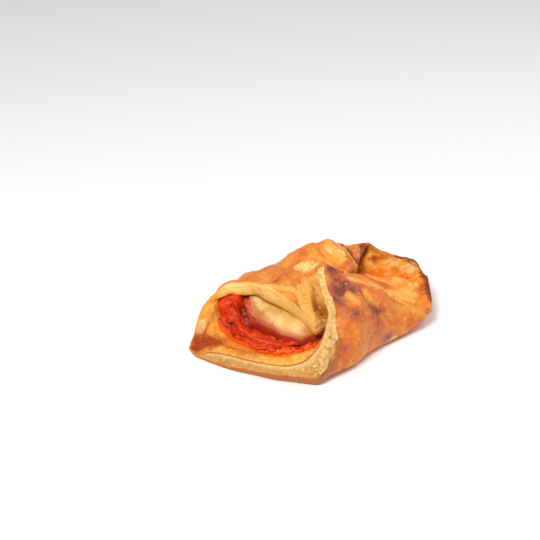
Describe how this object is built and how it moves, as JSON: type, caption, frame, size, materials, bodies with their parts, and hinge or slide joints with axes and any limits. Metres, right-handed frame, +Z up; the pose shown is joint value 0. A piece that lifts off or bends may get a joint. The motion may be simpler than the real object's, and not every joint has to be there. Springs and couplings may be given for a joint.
{
  "type": "savoury puff pastry basket",
  "caption": "Savoury bacon and ham pastry basket: a square of puff pastry folded corner over corner round tomato sauce, bacon, ham and melted cheese, open at both ends.",
  "frame": {"origin": "centre of the bounding box on the flat base that the pastry rests on", "axes": "+X along the basket from its wide left mouth to its raised right mouth, +Y towards the far fold, +Z up"},
  "size_m": [0.1373, 0.0859, 0.0361],
  "materials": {
    "crust": "golden brown baked puff pastry with a thin shiny glaze",
    "sauce": "thick glossy tomato sauce",
    "bacon": "moist fried bacon, coated with sauce",
    "ham": "moist boiled ham",
    "cheese": "soft melted cheese"
  },
  "bodies": {
    "root": {"pastry": "crust", "tomato_sauce": "sauce", "bacon_strip_1": "bacon", "bacon_strip_2": "bacon", "ham_slice": "ham", "melted_cheese": "cheese"}
  },
  "joints": []
}
